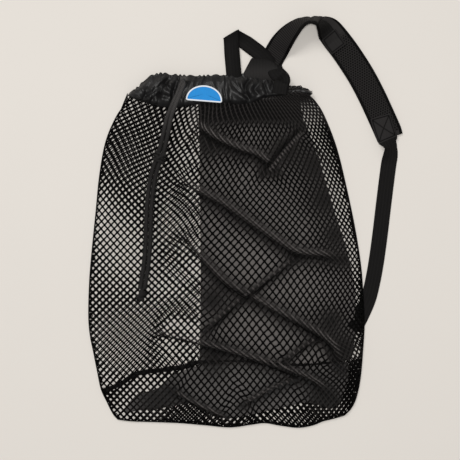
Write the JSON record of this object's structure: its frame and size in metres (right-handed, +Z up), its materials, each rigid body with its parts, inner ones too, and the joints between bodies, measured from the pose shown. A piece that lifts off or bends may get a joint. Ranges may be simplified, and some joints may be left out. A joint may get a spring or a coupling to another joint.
{
  "type": "mesh drawstring backpack",
  "caption": "Flat-lying mesh drawstring backpack with gathered hem, drawcord, grab handle and padded shoulder strap.",
  "frame": {"origin": "bottom centre of the bag's box, strap and handle included and the drawcord left out, on the floor that it lies on", "axes": "+Y from the foot of the sack to its mouth, +Z up from the back panel to the front net, +X to the wearer's strap side as seen from the front"},
  "size_m": [0.6268, 0.8226, 0.0549],
  "materials": {
    "net": "coated black net",
    "nylon": "crinkled black nylon with a soft sheen",
    "panel_cloth": "matt dark grey pack cloth",
    "webbing": "ribbed black webbing",
    "pad_mesh": "black spacer mesh",
    "cord": "braided black cord",
    "label": "soft blue patch with a white rim"
  },
  "bodies": {
    "root": {"net_front": "net", "net_back_left": "net", "net_back_right": "net", "net_back_foot": "net", "back_panel": "panel_cloth", "base_panel": "panel_cloth", "base_binding": "webbing", "hem_channel": "nylon", "hem_label": "label", "hem_tab": "webbing", "drawcord_left": "cord", "drawcord_right": "cord", "cord_hitch": "cord", "cord_end_knot": "cord", "grab_handle": "webbing", "strap_anchor": "webbing", "shoulder_pad": "pad_mesh", "pad_webbing": "webbing", "pad_patch": "webbing", "strap_webbing": "webbing"}
  },
  "joints": []
}
